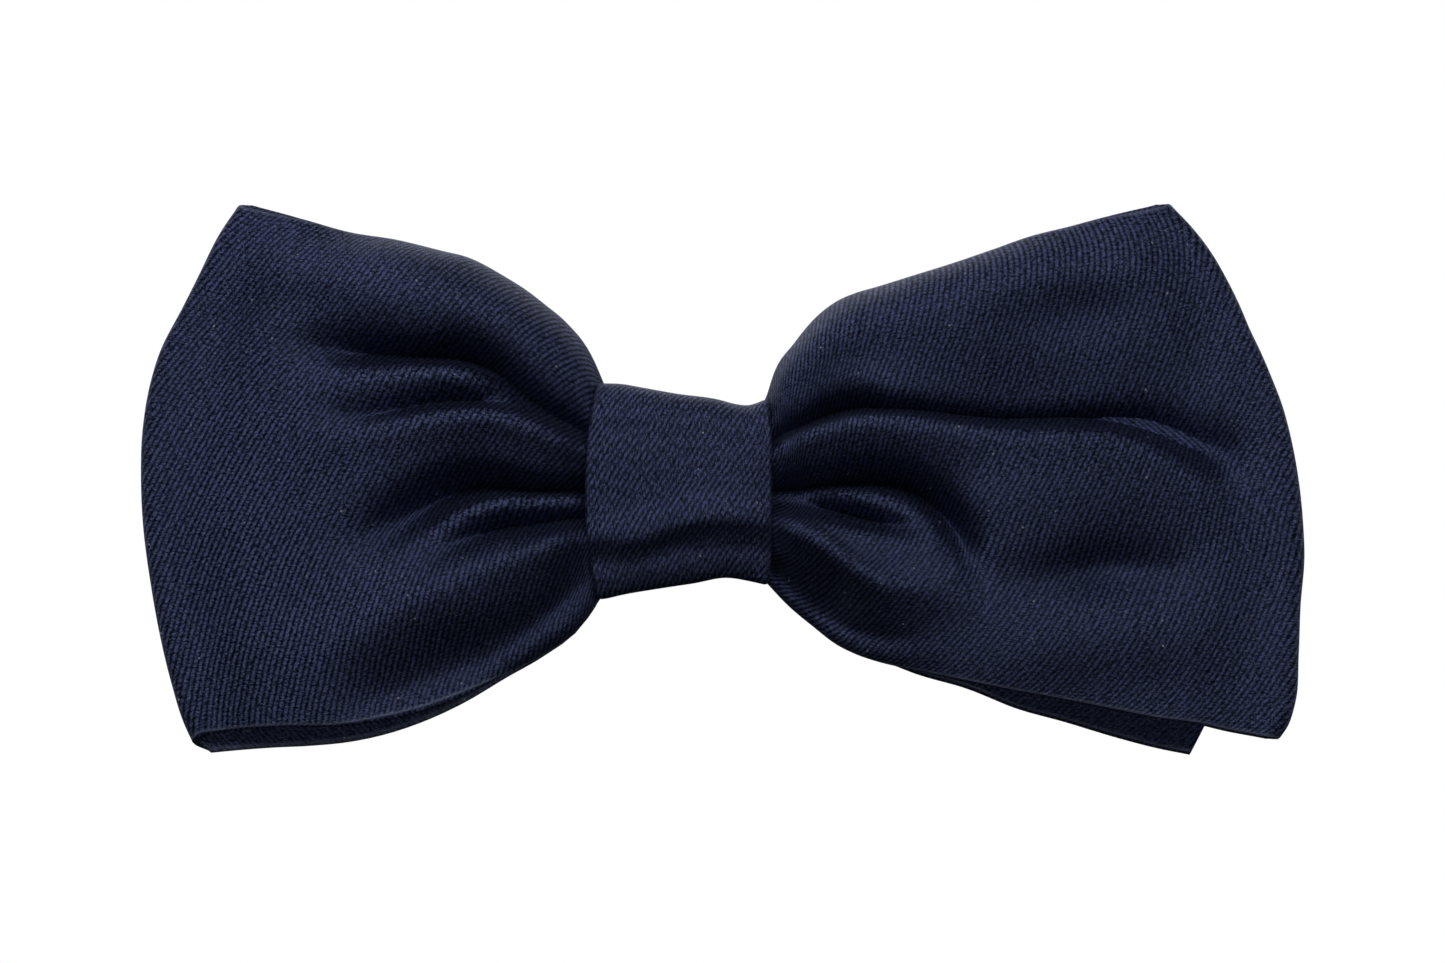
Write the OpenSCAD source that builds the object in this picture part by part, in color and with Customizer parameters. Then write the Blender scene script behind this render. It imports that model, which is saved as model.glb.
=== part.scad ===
// Ready-tied bow tie: a satin bow gathered under a knot band, on a sprung collar clip.
// Worn position: the bow faces -Y, +X runs to the right of someone looking at it, +Z is up.
// The origin is the middle of the clip, on the clip plate's rear face, where the collar leaf lies.

/* [Bow] */
// Overall width across both wings
bow_w = 120; // [95:1:140]
// Height of the wings where they are tallest
bow_h = 57; // [42:1:70]
// Depth of the puffed wings in front of the clip plate
bow_depth = 12.4; // [10:0.2:20]
// Share of the overall width that lies left of the knot
left_share = 0.4625; // [0.42:0.0025:0.5]

/* [Cloth strip] */
// Thickness of a finished strip: satin, lining, satin
strip_t = 0.9; // [0.7:0.05:1.2]
// Thickness of the satin alone
satin_t = 0.22; // [0.15:0.01:0.3]
// Play between satin and lining
lining_gap = 0.06; // [0.04:0.01:0.1]
// Radius of the turn at the end of each loop, at the middle of the strip
fold_r = 1.0; // [0.8:0.05:1.8]
// Diameter of the gathering thread
thread_d = 0.4; // [0.3:0.05:0.6]

/* [Knot band] */
// Width of the band across the waist
knot_w = 19; // [15:0.5:26]
// Height of the knot over the band, at its middle
knot_h = 20.3; // [17:0.1:26]
// How much the knot narrows for each mm to the right
knot_taper = 0.09; // [0:0.01:0.12]
// How far the front of the band is crowned
knot_crown = 0.9; // [0:0.1:2]

/* [Clip] */
// Length of the clip plate
clip_len = 55; // [48:0.5:64]
// Width of the clip plate's arms
clip_w = 9; // [8:0.25:12]
// Thickness of the clip plate
plate_t = 0.8; // [0.6:0.05:1.2]
// Thickness of the jaw metal
jaw_t = 0.75; // [0.6:0.05:1]
// Diameter of the hinge pins
pin_d = 1.5; // [1.2:0.1:2]
// Running clearance between pin and jaw, on the radius
pin_play = 0.05; // [0.02:0.01:0.1]
// Diameter of the spring wire
wire_d = 0.56; // [0.4:0.02:0.7]

/* [Hidden] */
$fn = 32;

half_t = strip_t / 2;
lining_h = half_t - satin_t - lining_gap;      // half the lining's thickness
lining_play = 0.5;                             // the lining is cut this much narrower at each edge
reach_l = bow_w * left_share;
reach_r = bow_w * (1 - left_share);
waist_h = knot_h * 2.808;                      // what the outlines are scaled by inside the band

// Depths of the layers' middles at the waist, counted forward from the clip plate's rear face
thread_back = plate_t + 0.25 + thread_d / 2;
tail_y = thread_back + thread_d / 2 + 0.1 + half_t;
lap_in_y = tail_y + strip_t + 0.4;             // right end of the loop strip, behind the lap
lap_out_y = lap_in_y + strip_t + 0.15;         // left end, in front of it
back_y = (lap_in_y + lap_out_y) / 2;
pleat_a = 1.4;                                 // depth of the waist pleats, either way
front_y = lap_out_y + 0.1 + strip_t + pleat_a; // middle of the pleated front panel
thread_front = front_y + pleat_a + half_t + 0.1 + thread_d / 2;
band_in_front = thread_front + thread_d / 2 + 0.15;
band_in_back = 0.1;                            // clear of the plate's rear face
end_y = tail_y + strip_t + 0.5 + fold_r;       // middle of the turn at a loop's end

// Wing outlines: [share of the way out, height as a share of bow_h]
top_l = [[0, .13], [.19, .145], [.23, .16], [.27, .295], [.32, .345], [.4, .39], [.52, .43],
    [.68, .457], [.84, .487], [1, .518]];
bot_l = [[0, -.13], [.17, -.145], [.21, -.16], [.25, -.265], [.36, -.333], [.5, -.39],
    [.68, -.43], [.85, -.446], [1, -.462]];
top_r = [[0, .12], [.17, .122], [.205, .138], [.25, .262], [.33, .336], [.41, .365], [.52, .395],
    [.67, .437], [.84, .483], [1, .518]];
bot_r = [[0, -.12], [.14, -.122], [.167, -.138], [.205, -.22], [.25, -.264], [.33, -.312],
    [.46, -.334], [.66, -.372], [.86, -.425], [1, -.448]];
// The rear panels hang a little lower on the left
bot_l_back = [[0, -.13], [.17, -.145], [.21, -.16], [.25, -.27], [.36, -.342], [.5, -.41],
    [.68, -.455], [.85, -.47], [1, -.474]];
tail_top = [[-1, .36], [-.6, .34], [-.25, .13], [0, .11], [.2, .12], [.3, .29], [.6, .36], [1, .39]];
tail_bot = [[-1, -.38], [-.6, -.36], [-.25, -.13], [0, -.11], [.17, -.12], [.28, -.29],
    [.47, -.352], [.64, -.378], [.86, -.44], [1, -.481]];
// End lines: [height from -1 to 1, reach as a share of the wing's longest]
end_l = [[-1, .881], [-.6, .963], [-.2, 1], [.2, .996], [.6, .924], [1, .814]];
end_r = [[-1, .97], [-.6, .992], [-.2, 1], [.2, .972], [.6, .9], [1, .785]];
tail_end_l = [[-1, .76], [-.4, .87], [.2, .88], [1, .74]];
tail_end_r = [[-1, .823], [-.6, .893], [-.2, .908], [.3, .89], [1, .75]];
// Depth of the puff along a wing: 0 at the flat end, 1 at its fullest
puff = [[0, .2], [.17, .22], [.3, .72], [.45, 1], [.65, .86], [.85, .38], [1, 0]];

// Smooth curve through a table of points
function row(t, x, i = 0) = i >= len(t) - 2 || x <= t[i + 1][0] ? i : row(t, x, i + 1);
function slope(t, i) = let (a = max(i - 1, 0), b = min(i + 1, len(t) - 1))
    (t[b][1] - t[a][1]) / (t[b][0] - t[a][0]);
function curve(t, x) = let (i = row(t, x), w = t[i + 1][0] - t[i][0], k = (x - t[i][0]) / w)
    (2 * k ^ 3 - 3 * k ^ 2 + 1) * t[i][1] + (k ^ 3 - 2 * k ^ 2 + k) * w * slope(t, i)
    + (3 * k ^ 2 - 2 * k ^ 3) * t[i + 1][1] + (k ^ 3 - k ^ 2) * w * slope(t, i + 1);
function ease(a, b, x) = let (k = min(1, max(0, (x - a) / (b - a)))) k * k * (3 - 2 * k);
function mix(a, b, k) = a + (b - a) * k;
// The tables are drawn with the band's edge at share b0. A wider band or a shorter wing has it at b.
function place(s, b0, b) = s < b0 ? s * b / b0 : 1 - (1 - s) * (1 - b) / (1 - b0);
function tall(s) = mix(waist_h, bow_h, ease(.2, .4, s));

// The loop strip's middle surface. u runs round the ring in six stretches from the rear lap:
// rear right, right turn, front right, front left, left turn, rear left. v runs bottom to top.
function loop_mid(u, v, m) = let (
    g = min(5, floor(u)), w = u - g,
    left = g > 2, turn = g == 1 || g == 4, front = g == 2 || g == 3,
    s = turn ? 1 : g == 0 || g == 3 ? w : 1 - w,
    lap = g == 0 ? lap_in_y : lap_out_y,
    zt = tall(s) * curve(left ? top_l : top_r, s),
    zb0 = tall(s) * curve(left ? bot_l : bot_r, s),
    zb1 = tall(s) * curve(left ? bot_l_back : bot_r, s),
    k = turn ? (left ? w : 1 - w) : front ? 0 : 1,
    zb = mix(zb0, zb1, left ? k : 0),
    vv = v * (1 - 2 * m / (zt - zb)),
    z = mix(zb, zt, (vv + 1) / 2),
    reach = left ? reach_l * curve(end_l, vv) : reach_r * curve(end_r, vv),
    bow = curve(puff, s) - .18 * abs(vv) ^ 3 * ease(.2, .45, s),
    flat = 1 - ease(.25, .8, s),
    yf = mix(front_y, end_y + fold_r, ease(.2, 1, s)) + (bow_depth - front_y - half_t) * max(0, bow) * ease(.15, .45, s)
        - pleat_a * flat * cos(360 * (vv + 1)),
    yb = mix(lap, mix(back_y, end_y - fold_r, ease(.3, 1, s)), ease(.12, .3, s)),
    a = turn ? 180 * (left ? w : 1 - w) : 0,
    at = left ? place(s, .1712, knot_w / 2 / reach_l) : place(s, .1473, knot_w / 2 / reach_r),
    x = at * (reach - fold_r - half_t) + (turn ? fold_r * sin(a) : 0),
    y = turn ? end_y + fold_r * cos(a) : front ? yf : yb)
    [left ? -x : x, -y, z];

// Where the loop strip is cut: each end laps the other by this share of a wing
lap = 0.07;
function lapped(u, v, m) =
    u < 0 ? let (p = loop_mid(-u, v, m), q = loop_mid(0, v, m)) [-p[0], -lap_in_y, q[2]]
    : u > 6 ? let (p = loop_mid(12 - u, v, m), q = loop_mid(6, v, m)) [-p[0], -lap_out_y, q[2]]
    : loop_mid(u, v, m);

// The tail strip's middle surface, from its left end to its right end
function tail_mid(s, v, m) = let (
    zt = tall(abs(s)) * curve(tail_top, s), zb = tall(abs(s)) * curve(tail_bot, s),
    vv = v * (1 - 2 * m / (zt - zb)),
    x = s < 0 ? -place(-s, .1945, knot_w / 2 / reach_l / .88) * reach_l * curve(tail_end_l, vv)
        : place(s, .1622, knot_w / 2 / reach_r / .908) * reach_r * curve(tail_end_r, vv))
    [x, -tail_y, mix(zb, zt, (vv + 1) / 2)];

// The knot band: one round of the waist in the YZ plane, lapped at the back
band_r = 3.4;
band_c = (band_in_front - band_in_back) / 2;   // half the depth inside the band
function band_z(x) = knot_h / 2 - half_t - knot_taper * x;
lap_z = 2.5;                                    // the lap reaches this far either side of the middle
function band_path(h) = let (
    y0 = band_in_back + half_t, y1 = -band_in_front - half_t, f = h - band_r, st = strip_t + 0.1)
    concat([[y0, -lap_z], [y0, 0], [y0, lap_z + 1]],
        [for (a = [0:18:90]) [y0 - band_r + band_r * cos(a), f + band_r * sin(a)]],
        [for (a = [90:18:180]) [y1 + band_r + band_r * cos(a), f + band_r * sin(a)]],
        [for (k = [.6, .2, -.2, -.6]) [y1 - knot_crown * (1 - k * k), f * k]],
        [for (a = [180:18:270]) [y1 + band_r + band_r * cos(a), -f + band_r * sin(a)]],
        [for (a = [270:18:360]) [y0 - band_r + band_r * cos(a), -f + band_r * sin(a)]],
        [[y0 + .1, -f + .6], [y0 + st * .5, -lap_z - 1.9], [y0 + st, -lap_z - .9], [y0 + st, 0],
        [y0 + st, lap_z]]);
band_n = len(band_path(10)) - 1;
function band_mid(u, v, m) = let (x = (knot_w / 2 - m) * v, p = band_path(band_z(x))[u]) [x, p[0], p[1]];

// A strip of cloth as a mesh: the middle surface's grid, thickened both ways
function grid(f, us, nv, m) = [for (u = us) [for (j = [0:nv]) f(u, 2 * j / nv - 1, m)]];
function normal(g, i, j) = let (
    n = cross(g[min(i + 1, len(g) - 1)][j] - g[max(i - 1, 0)][j],
        g[i][min(j + 1, len(g[i]) - 1)] - g[i][max(j - 1, 0)])) n / norm(n);
function skin(g, h) = [for (i = [0:len(g) - 1], j = [0:2 * len(g[i]) - 1])
    let (n = len(g[i]), k = j < n ? j : 2 * n - 1 - j) g[i][k] + (j < n ? h : -h) * normal(g, i, k)];
// Walls between the rings of a skin of n points each, as triangles
function walls(rings, n, at, flip) = [for (i = [0:rings - 2], j = [0:n - 1], half = [0, 1])
    let (a = at + i * n + j, b = at + i * n + (j + 1) % n, c = a + n, d = b + n,
        t = half == 0 ? [a, b, d] : [a, d, c]) flip ? [t[0], t[2], t[1]] : t];
function cap(at, n, flip) = [for (j = [0:n / 2 - 2], half = [0, 1])
    let (a = at + j, b = at + j + 1, c = at + n - 2 - j, d = at + n - 1 - j,
        t = half == 0 ? [a, c, b] : [a, d, c]) flip ? [t[0], t[2], t[1]] : t];
function rim(at, inner, n, flip) = [for (j = [0:n - 1], half = [0, 1])
    let (a = at + j, b = at + (j + 1) % n, c = inner + j, d = inner + (j + 1) % n,
        t = half == 0 ? [a, c, b] : [b, c, d]) flip ? [t[0], t[2], t[1]] : t];

// A solid strip, such as a lining
module strip(f, us, nv, h, m) {
    g = grid(f, us, nv, m);
    n = 2 * (nv + 1);
    polyhedron(skin(g, h), concat(walls(len(us), n, 0, false), cap(0, n, false),
        cap((len(us) - 1) * n, n, true)));
}

// A flattened tube of satin, open at its two cut ends, with room inside for the lining
module tube(f, us, nv) {
    n = 2 * (nv + 1);
    inside = len(us) * n;
    last = (len(us) - 1) * n;
    polyhedron(concat(skin(grid(f, us, nv, 0), half_t), skin(grid(f, us, nv, satin_t), half_t - satin_t)),
        concat(walls(len(us), n, 0, false), walls(len(us), n, inside, true),
            rim(0, inside, n, false), rim(last, inside + last, n, true)));
}

out = [.07, .14, .17, .2, .23, .27, .33, .4, .5, .62, .74, .86, .94];
back = [.1, .17, .2, .23, .3, .42, .6, .8, .93];
turn = [1, 1.2, 1.4, 1.6, 1.8];
loop_us = concat([-lap, 0], back, turn,
    [for (s = [len(out) - 1:-1:0]) 3 - out[s]], [2], [3], [for (s = out) 3 + s],
    [for (t = turn) t + 3], [5], [for (s = [len(back) - 1:-1:0]) 6 - back[s]], [6, 6 + lap]);
function sorted(a) = len(a) <= 1 ? a : let (p = a[0])
    concat(sorted([for (x = a) if (x < p) x]), [p], sorted([for (x = a) if (x > p) x]));
tail_us = [-1, -.85, -.6, -.35, -.25, -.15, 0, .1, .17, .23, .3, .4, .5, .65, .8, .92, 1];
tail_lining_us = [for (s = tail_us) min(.965, max(-.965, s))];
band_us = [for (i = [0:band_n]) i];

module loop_satin() color("#232c47") tube(function (u, v, m) lapped(u, v, m), sorted(loop_us), 14);

module loop_lining() color("#8d8f96")
    strip(function (u, v, m) lapped(u, v, m), [for (u = sorted(loop_us)) min(6 + lap - .012, max(.012 - lap, u))],
        14, lining_h,
        satin_t + lining_play);

// Tacking stitches through the lap, each with a bar on both faces
module loop_seam_stitches() color("#12172a")
    for (z = [-2:2]) translate([0, 0, z * waist_h * .045]) {
        translate([0, -lap_in_y + half_t + .08, 0]) rotate([90, 0, 0])
            cylinder(d = .24, h = lap_out_y - lap_in_y + strip_t + .16);
        for (y = [-lap_in_y + half_t + .08, -lap_out_y - half_t - .08]) translate([0, y, 0])
            rotate([0, 90, 0]) cylinder(d = .24, h = 2.4, center = true);
    }

module tail_satin() color("#1e2740") tube(function (u, v, m) tail_mid(u, v, m), tail_us, 10);

module tail_lining() color("#8d8f96")
    strip(function (u, v, m) tail_mid(u, v, m), tail_lining_us, 10, lining_h, satin_t + lining_play);

// Slip stitches that close the tail strip's two open ends
module tail_end_stitches() color("#12172a")
    for (s = [-1, 1], v = [-.8:.2:.8]) let (p = tail_mid(s * .985, v, 0))
        translate([p[0], -tail_y, p[2]]) {
            rotate([90, 0, 0]) cylinder(d = .26, h = strip_t + .2, center = true);
            for (y = [-1, 1]) translate([0, y * (half_t + .1), 0]) rotate([0, 90, 0])
                cylinder(d = .26, h = 1.1, center = true);
        }

// Three turns of thread that hold the gathers, under the band
module gather_thread() color("#12172a") {
    r = 1.2;
    z = waist_h * .13 + .25 + thread_d / 2 - r;
    ya = -thread_back - r;
    yb = -thread_front + r;
    for (x = [-1.1, 0, 1.1]) translate([x, 0, 0]) {
        for (k = [-1, 1]) {
            translate([0, (ya + yb) / 2, k * (z + r)]) rotate([90, 0, 0])
                cylinder(d = thread_d, h = ya - yb, center = true);
            translate([0, k > 0 ? ya + r : yb - r, 0]) cylinder(d = thread_d, h = 2 * z, center = true);
        }
        for (q = [[ya, z, 0], [yb, z, 90], [yb, -z, 180], [ya, -z, 270]])
            translate([0, q[0], q[1]]) rotate([q[2], 0, 0]) rotate([90, 0, 90])
                rotate_extrude(angle = 90) translate([r, 0]) circle(d = thread_d);
    }
}

module band_satin() color("#273150") tube(function (u, v, m) band_mid(u, v, m), band_us, 6);

module band_lining() color("#8d8f96")
    strip(function (u, v, m) band_mid(u, v, m), band_us, 6, lining_h, satin_t + lining_play);

// Stitches down the lap at the back of the band
module band_stitches() color("#12172a")
    for (x = [-3:3]) translate([x * knot_w * .14, 0, lap_z - .7]) {
        translate([0, band_in_back + 2 * strip_t + .1 + .06, 0]) cylinder(d = .3, h = 1.6, center = true);
        translate([0, band_in_back + strip_t * 2 + .16, 0]) rotate([90, 0, 0]) cylinder(d = .3, h = strip_t + .5);
    }

// Clip
arm_x = knot_w / 2 + 3.5;                       // where the narrow middle bar meets the arms
tip_x = clip_len / 2;
pivot_x = arm_x + (tip_x - arm_x) * .35;
pivot_y = 3;
bar_h = clip_w * .55;
ear_t = plate_t;
ear_in = clip_w / 2 - ear_t;                    // inner face of the plate's ears
jaw_w = 2 * (ear_in - .25);                     // width of the jaw between them
tab_x = knot_w / 2 + 1.4;                       // where the thumb tab ends

module round_rect(w, h, r) {
    square([w - 2 * r, h], center = true);
    square([w, h - 2 * r], center = true);
    for (x = [-1, 1], y = [-1, 1]) translate([x * (w / 2 - r), y * (h / 2 - r)]) circle(r = r);
}

// A bent strip of sheet metal seen from its edge
module bent(pts, t) {
    for (p = pts) translate(p) circle(d = t);
    for (i = [1:len(pts) - 1]) let (d = pts[i] - pts[i - 1])
        translate(pts[i - 1]) rotate(atan2(d[1], d[0])) translate([0, -t / 2]) square([norm(d), t]);
}

module clip_arm() {
    difference() {
        translate([0, 0, 0]) rotate([90, 0, 0]) linear_extrude(plate_t)
            translate([(arm_x + tip_x) / 2, 0]) round_rect(tip_x - arm_x, clip_w, 1.6);
        // a slot that lightens the arm, between the spring and the grip
        translate([pivot_x + 3.6, 1, 0]) rotate([90, 0, 0]) linear_extrude(plate_t + 2)
            round_rect(1.6, clip_w * .45, .79);
    }
    for (s = [-1, 1]) translate([0, 0, s * (clip_w / 2 - ear_t / 2)]) difference() {
        union() {
            translate([pivot_x - 2.5, -plate_t / 2, -ear_t / 2]) cube([5, pivot_y + plate_t / 2, ear_t]);
            translate([pivot_x, pivot_y, 0]) cylinder(r = 2.5, h = ear_t, center = true);
        }
        translate([pivot_x, pivot_y, 0]) cylinder(d = pin_d + .04, h = 3, center = true);
    }
    // low rib under the jaw's teeth
    translate([tip_x - 2.3, 0, 0]) cylinder(r = .35, h = clip_w - 2, center = true);
}

module clip_base() color("#c9ccd0") {
    rotate([90, 0, 0]) linear_extrude(plate_t) square([2 * arm_x + 4, bar_h], center = true);
    clip_arm();
    rotate([0, 180, 0]) clip_arm();
}

module jaw() {
    lip_x = tip_x - .9;
    top = pivot_y + 2.4;
    bend = [[lip_x, 1.3], [pivot_x + 4.2, 4.5], [pivot_x, top], [pivot_x - 2.8, top + .3], [tab_x, top + 2.7]];
    difference() {
        union() {
            translate([0, 0, -jaw_w / 2]) linear_extrude(jaw_w) bent([for (i = [1:4]) bend[i]], jaw_t);
            // the wide grip beyond the ears
            translate([0, 0, -clip_w / 2 + .4]) linear_extrude(clip_w - .8) bent([bend[0], bend[1]], jaw_t);
            // the toothed lip
            translate([lip_x - jaw_t / 2, 0, 0]) rotate([0, 90, 0]) linear_extrude(jaw_t)
                polygon(concat([[clip_w / 2 - .4, 1.4], [-clip_w / 2 + .4, 1.4]],
                    [for (i = [0:12]) [-(clip_w / 2 - .4) + i * (clip_w - .8) / 12, i % 2 == 0 ? .75 : .12]]));
            for (s = [-1, 1]) translate([0, 0, s * (jaw_w / 2 - jaw_t / 2)]) {
                translate([pivot_x, pivot_y, 0]) cylinder(r = 2, h = jaw_t, center = true);
                translate([pivot_x - 2, pivot_y, -jaw_t / 2]) cube([4, 2.3, jaw_t]);
            }
        }
        translate([pivot_x, pivot_y, 0]) cylinder(d = pin_d + 2 * pin_play, h = clip_w * 2, center = true);
    }
}

module right_jaw() color("#d6d8db") jaw();
module left_jaw() color("#d6d8db") rotate([0, 180, 0]) jaw();

module pin() translate([pivot_x, pivot_y, 0]) {
    cylinder(d = pin_d, h = clip_w + .2, center = true);
    for (s = [-1, 1]) translate([0, 0, s * (clip_w / 2 + .3)]) cylinder(d = pin_d + .9, h = .5, center = true);
}
module right_pin() color("#b9bcc1") pin();
module left_pin() color("#b9bcc1") rotate([0, 180, 0]) pin();

// Torsion spring: a leg on the plate, a coil round the pin, and a leg under the thumb tab
coil_r = pin_d / 2 + wire_d / 2 + .32;
turns = 3;
wire_r = wire_d / 2;
spring_path = concat(
    [[pivot_x - 5.6, wire_r + .03, -1.3], [pivot_x - 3.6, wire_r + .12, -1.3]],
    [for (a = [-90:22.5:90 + 360 * turns])
        [pivot_x + coil_r * cos(a), pivot_y + coil_r * sin(a), -1.3 + 2.6 * (a + 90) / (180 + 360 * turns)]],
    [[pivot_x - 2.8, pivot_y + 1.85, 1.3], [pivot_x - 5.8, pivot_y + 3.35, 1.3]]);

module wire(path, r, n) {
    last = len(path) - 1;
    ring = function (i) let (
        t = path[min(i + 1, last)] - path[max(i - 1, 0)],
        b = cross(t, [0, 0, 1]), side = b / norm(b), c = cross(side, t), up = c / norm(c))
        [for (k = [0:n - 1]) path[i] + r * (cos(360 * k / n) * side + sin(360 * k / n) * up)];
    polyhedron([for (i = [0:last]) each ring(i)], concat(walls(last + 1, n, 0, false),
        [[for (k = [n - 1:-1:0]) k]], [[for (k = [0:n - 1]) last * n + k]]));
}
module right_spring() color("#9a9ea5") wire(spring_path, wire_r, 6);
module left_spring() color("#9a9ea5") rotate([0, 180, 0]) wire(spring_path, wire_r, 6);

loop_satin();
loop_lining();
loop_seam_stitches();
tail_satin();
tail_lining();
tail_end_stitches();
gather_thread();
band_satin();
band_lining();
band_stitches();
clip_base();
left_jaw();
right_jaw();
left_pin();
right_pin();
left_spring();
right_spring();
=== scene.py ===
# %% [markdown]
# # A ready-tied bow tie in navy satin
# The bow is one flat tube of satin with a canvas lining, bent into a closed loop and gathered at
# its middle. A shorter flat strip lies behind it, a knot band goes round the waist, and a sprung
# metal clip sits behind that. The metal comes from the CAD frame as it is. Cloth needs more than
# a solid can give, so each strip is built here again, in the same place and with the same sizes.

import bmesh
import bpy
import numpy as np
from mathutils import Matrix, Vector


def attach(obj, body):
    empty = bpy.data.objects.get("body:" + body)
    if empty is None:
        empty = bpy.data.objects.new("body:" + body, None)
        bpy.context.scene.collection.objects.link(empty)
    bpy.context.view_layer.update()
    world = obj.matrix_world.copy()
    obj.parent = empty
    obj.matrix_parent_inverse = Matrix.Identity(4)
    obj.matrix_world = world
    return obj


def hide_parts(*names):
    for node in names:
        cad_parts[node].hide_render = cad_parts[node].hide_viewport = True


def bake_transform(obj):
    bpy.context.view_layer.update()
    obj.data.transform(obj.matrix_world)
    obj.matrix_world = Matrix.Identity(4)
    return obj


MM = 0.001
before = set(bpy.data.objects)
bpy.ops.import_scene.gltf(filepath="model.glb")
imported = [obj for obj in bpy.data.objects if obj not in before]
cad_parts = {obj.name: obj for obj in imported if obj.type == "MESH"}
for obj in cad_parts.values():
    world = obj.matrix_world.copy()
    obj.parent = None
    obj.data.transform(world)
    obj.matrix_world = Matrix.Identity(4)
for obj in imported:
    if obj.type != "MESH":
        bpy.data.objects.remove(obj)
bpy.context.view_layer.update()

# %% [markdown]
# ## Small tools
# Outlines are short tables of points in millimetres with a smooth curve through them. A strip of
# cloth starts as a flat grid. Each of its columns and rows is then laid on a curved middle
# surface, with half the strip's thickness on either side and a half-round rim along both edges,
# which is what a pressed tube of satin has.

# %% Curves through points
def through(points):
    """A smooth curve through (x, y) points, as a function of x."""
    x, y = np.array(points, float).T
    slope = np.gradient(y, x)

    def at(q):
        q = np.clip(q, x[0], x[-1])
        i = np.clip(np.searchsorted(x, q) - 1, 0, len(x) - 2)
        w = x[i + 1] - x[i]
        k = (q - x[i]) / w
        return ((2 * k**3 - 3 * k**2 + 1) * y[i] + (k**3 - 2 * k**2 + k) * w * slope[i]
                + (3 * k**2 - 2 * k**3) * y[i + 1] + (k**3 - k**2) * w * slope[i + 1])

    return at


def ease(a, b, x):
    """0 before a, 1 after b, and a smooth step between."""
    k = np.clip((x - a) / (b - a), 0, 1)
    return k * k * (3 - 2 * k)


def mix(a, b, k):
    return a + (b - a) * k


def fold_field(x, z, folds, step=0.35):
    """Depth and upward lean that fold lines add at points (x, z).
    A fold is a list of (x, z, height, width above, width below, lean), all in mm."""
    depth, lean = np.zeros_like(x), np.zeros_like(x)
    for fold in folds:
        knots = np.array(fold, float)
        run = np.concatenate([[0], np.cumsum(np.hypot(*np.diff(knots[:, :2], axis=0).T))])
        count = max(8, int(run[-1] / step))
        at = np.linspace(0, run[-1], count)
        line = np.stack([through(np.stack([run, knots[:, c]], 1))(at) for c in range(6)], 1)
        way = np.gradient(line[:, :2], axis=0)
        way /= np.linalg.norm(way, axis=1, keepdims=True)
        reach = 3.2 * max(line[:, 3].max(), line[:, 4].max())
        near = ((x > line[:, 0].min() - reach) & (x < line[:, 0].max() + reach)
                & (z > line[:, 1].min() - reach) & (z < line[:, 1].max() + reach))
        px, pz = x[near], z[near]
        gap = (px[:, None] - line[None, :, 0]) ** 2 + (pz[:, None] - line[None, :, 1]) ** 2
        i = gap.argmin(1)
        dx, dz = px - line[i, 0], pz - line[i, 1]
        along = dx * way[i, 0] + dz * way[i, 1]
        across = way[i, 0] * dz - way[i, 1] * dx
        across = np.where(way[i, 0] < 0, -across, across)
        place = np.clip((at[i] + along) / run[-1], 0, 1) * (count - 1)
        j = np.clip(place.astype(int), 0, count - 2)
        here = line[j] + (line[j + 1] - line[j]) * (place - j)[:, None]
        past = np.maximum(0, np.maximum(-(at[i] + along), at[i] + along - run[-1]))
        width = np.maximum(.9, np.where(across > 0, here[:, 3], here[:, 4]))
        shape = np.exp(-(across / width) ** 2 - (past / width) ** 2)
        depth[near] += here[:, 2] * shape
        lean[near] += 1.6 * here[:, 5] * shape
    return depth, lean


# %% [markdown]
# ## From a middle surface to a mesh
# `bmesh` makes a flat grid, and each of its points is then moved to its place on the strip. Before it
# moves, a point leaves its flat place in the UV map `cloth_mm`, in millimetres. The satin material
# draws its weave from that map, so the woven lines keep their real spacing and follow every fold.

# %% Strips of cloth
RIM = 5  # faces round each half-round edge


def strip_surface(middle, half):
    """Points round a flattened tube: (columns, ring, 3), from its middle surface."""
    along = np.gradient(middle, axis=0)
    across = np.gradient(middle, axis=1)
    out = np.cross(along, across)
    out /= np.linalg.norm(out, axis=2, keepdims=True)
    edge = across / np.linalg.norm(across, axis=2, keepdims=True)
    ring = [middle[:, j] + half * out[:, j] for j in range(middle.shape[1])]
    turn = np.pi * np.arange(1, RIM) / RIM
    ring += [middle[:, -1] + half * (np.cos(a) * out[:, -1] + np.sin(a) * edge[:, -1]) for a in turn]
    ring += [middle[:, j] - half * out[:, j] for j in reversed(range(middle.shape[1]))]
    ring += [middle[:, 0] - half * (np.cos(a) * out[:, 0] + np.sin(a) * edge[:, 0]) for a in turn]
    return np.stack(ring, 1)


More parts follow.
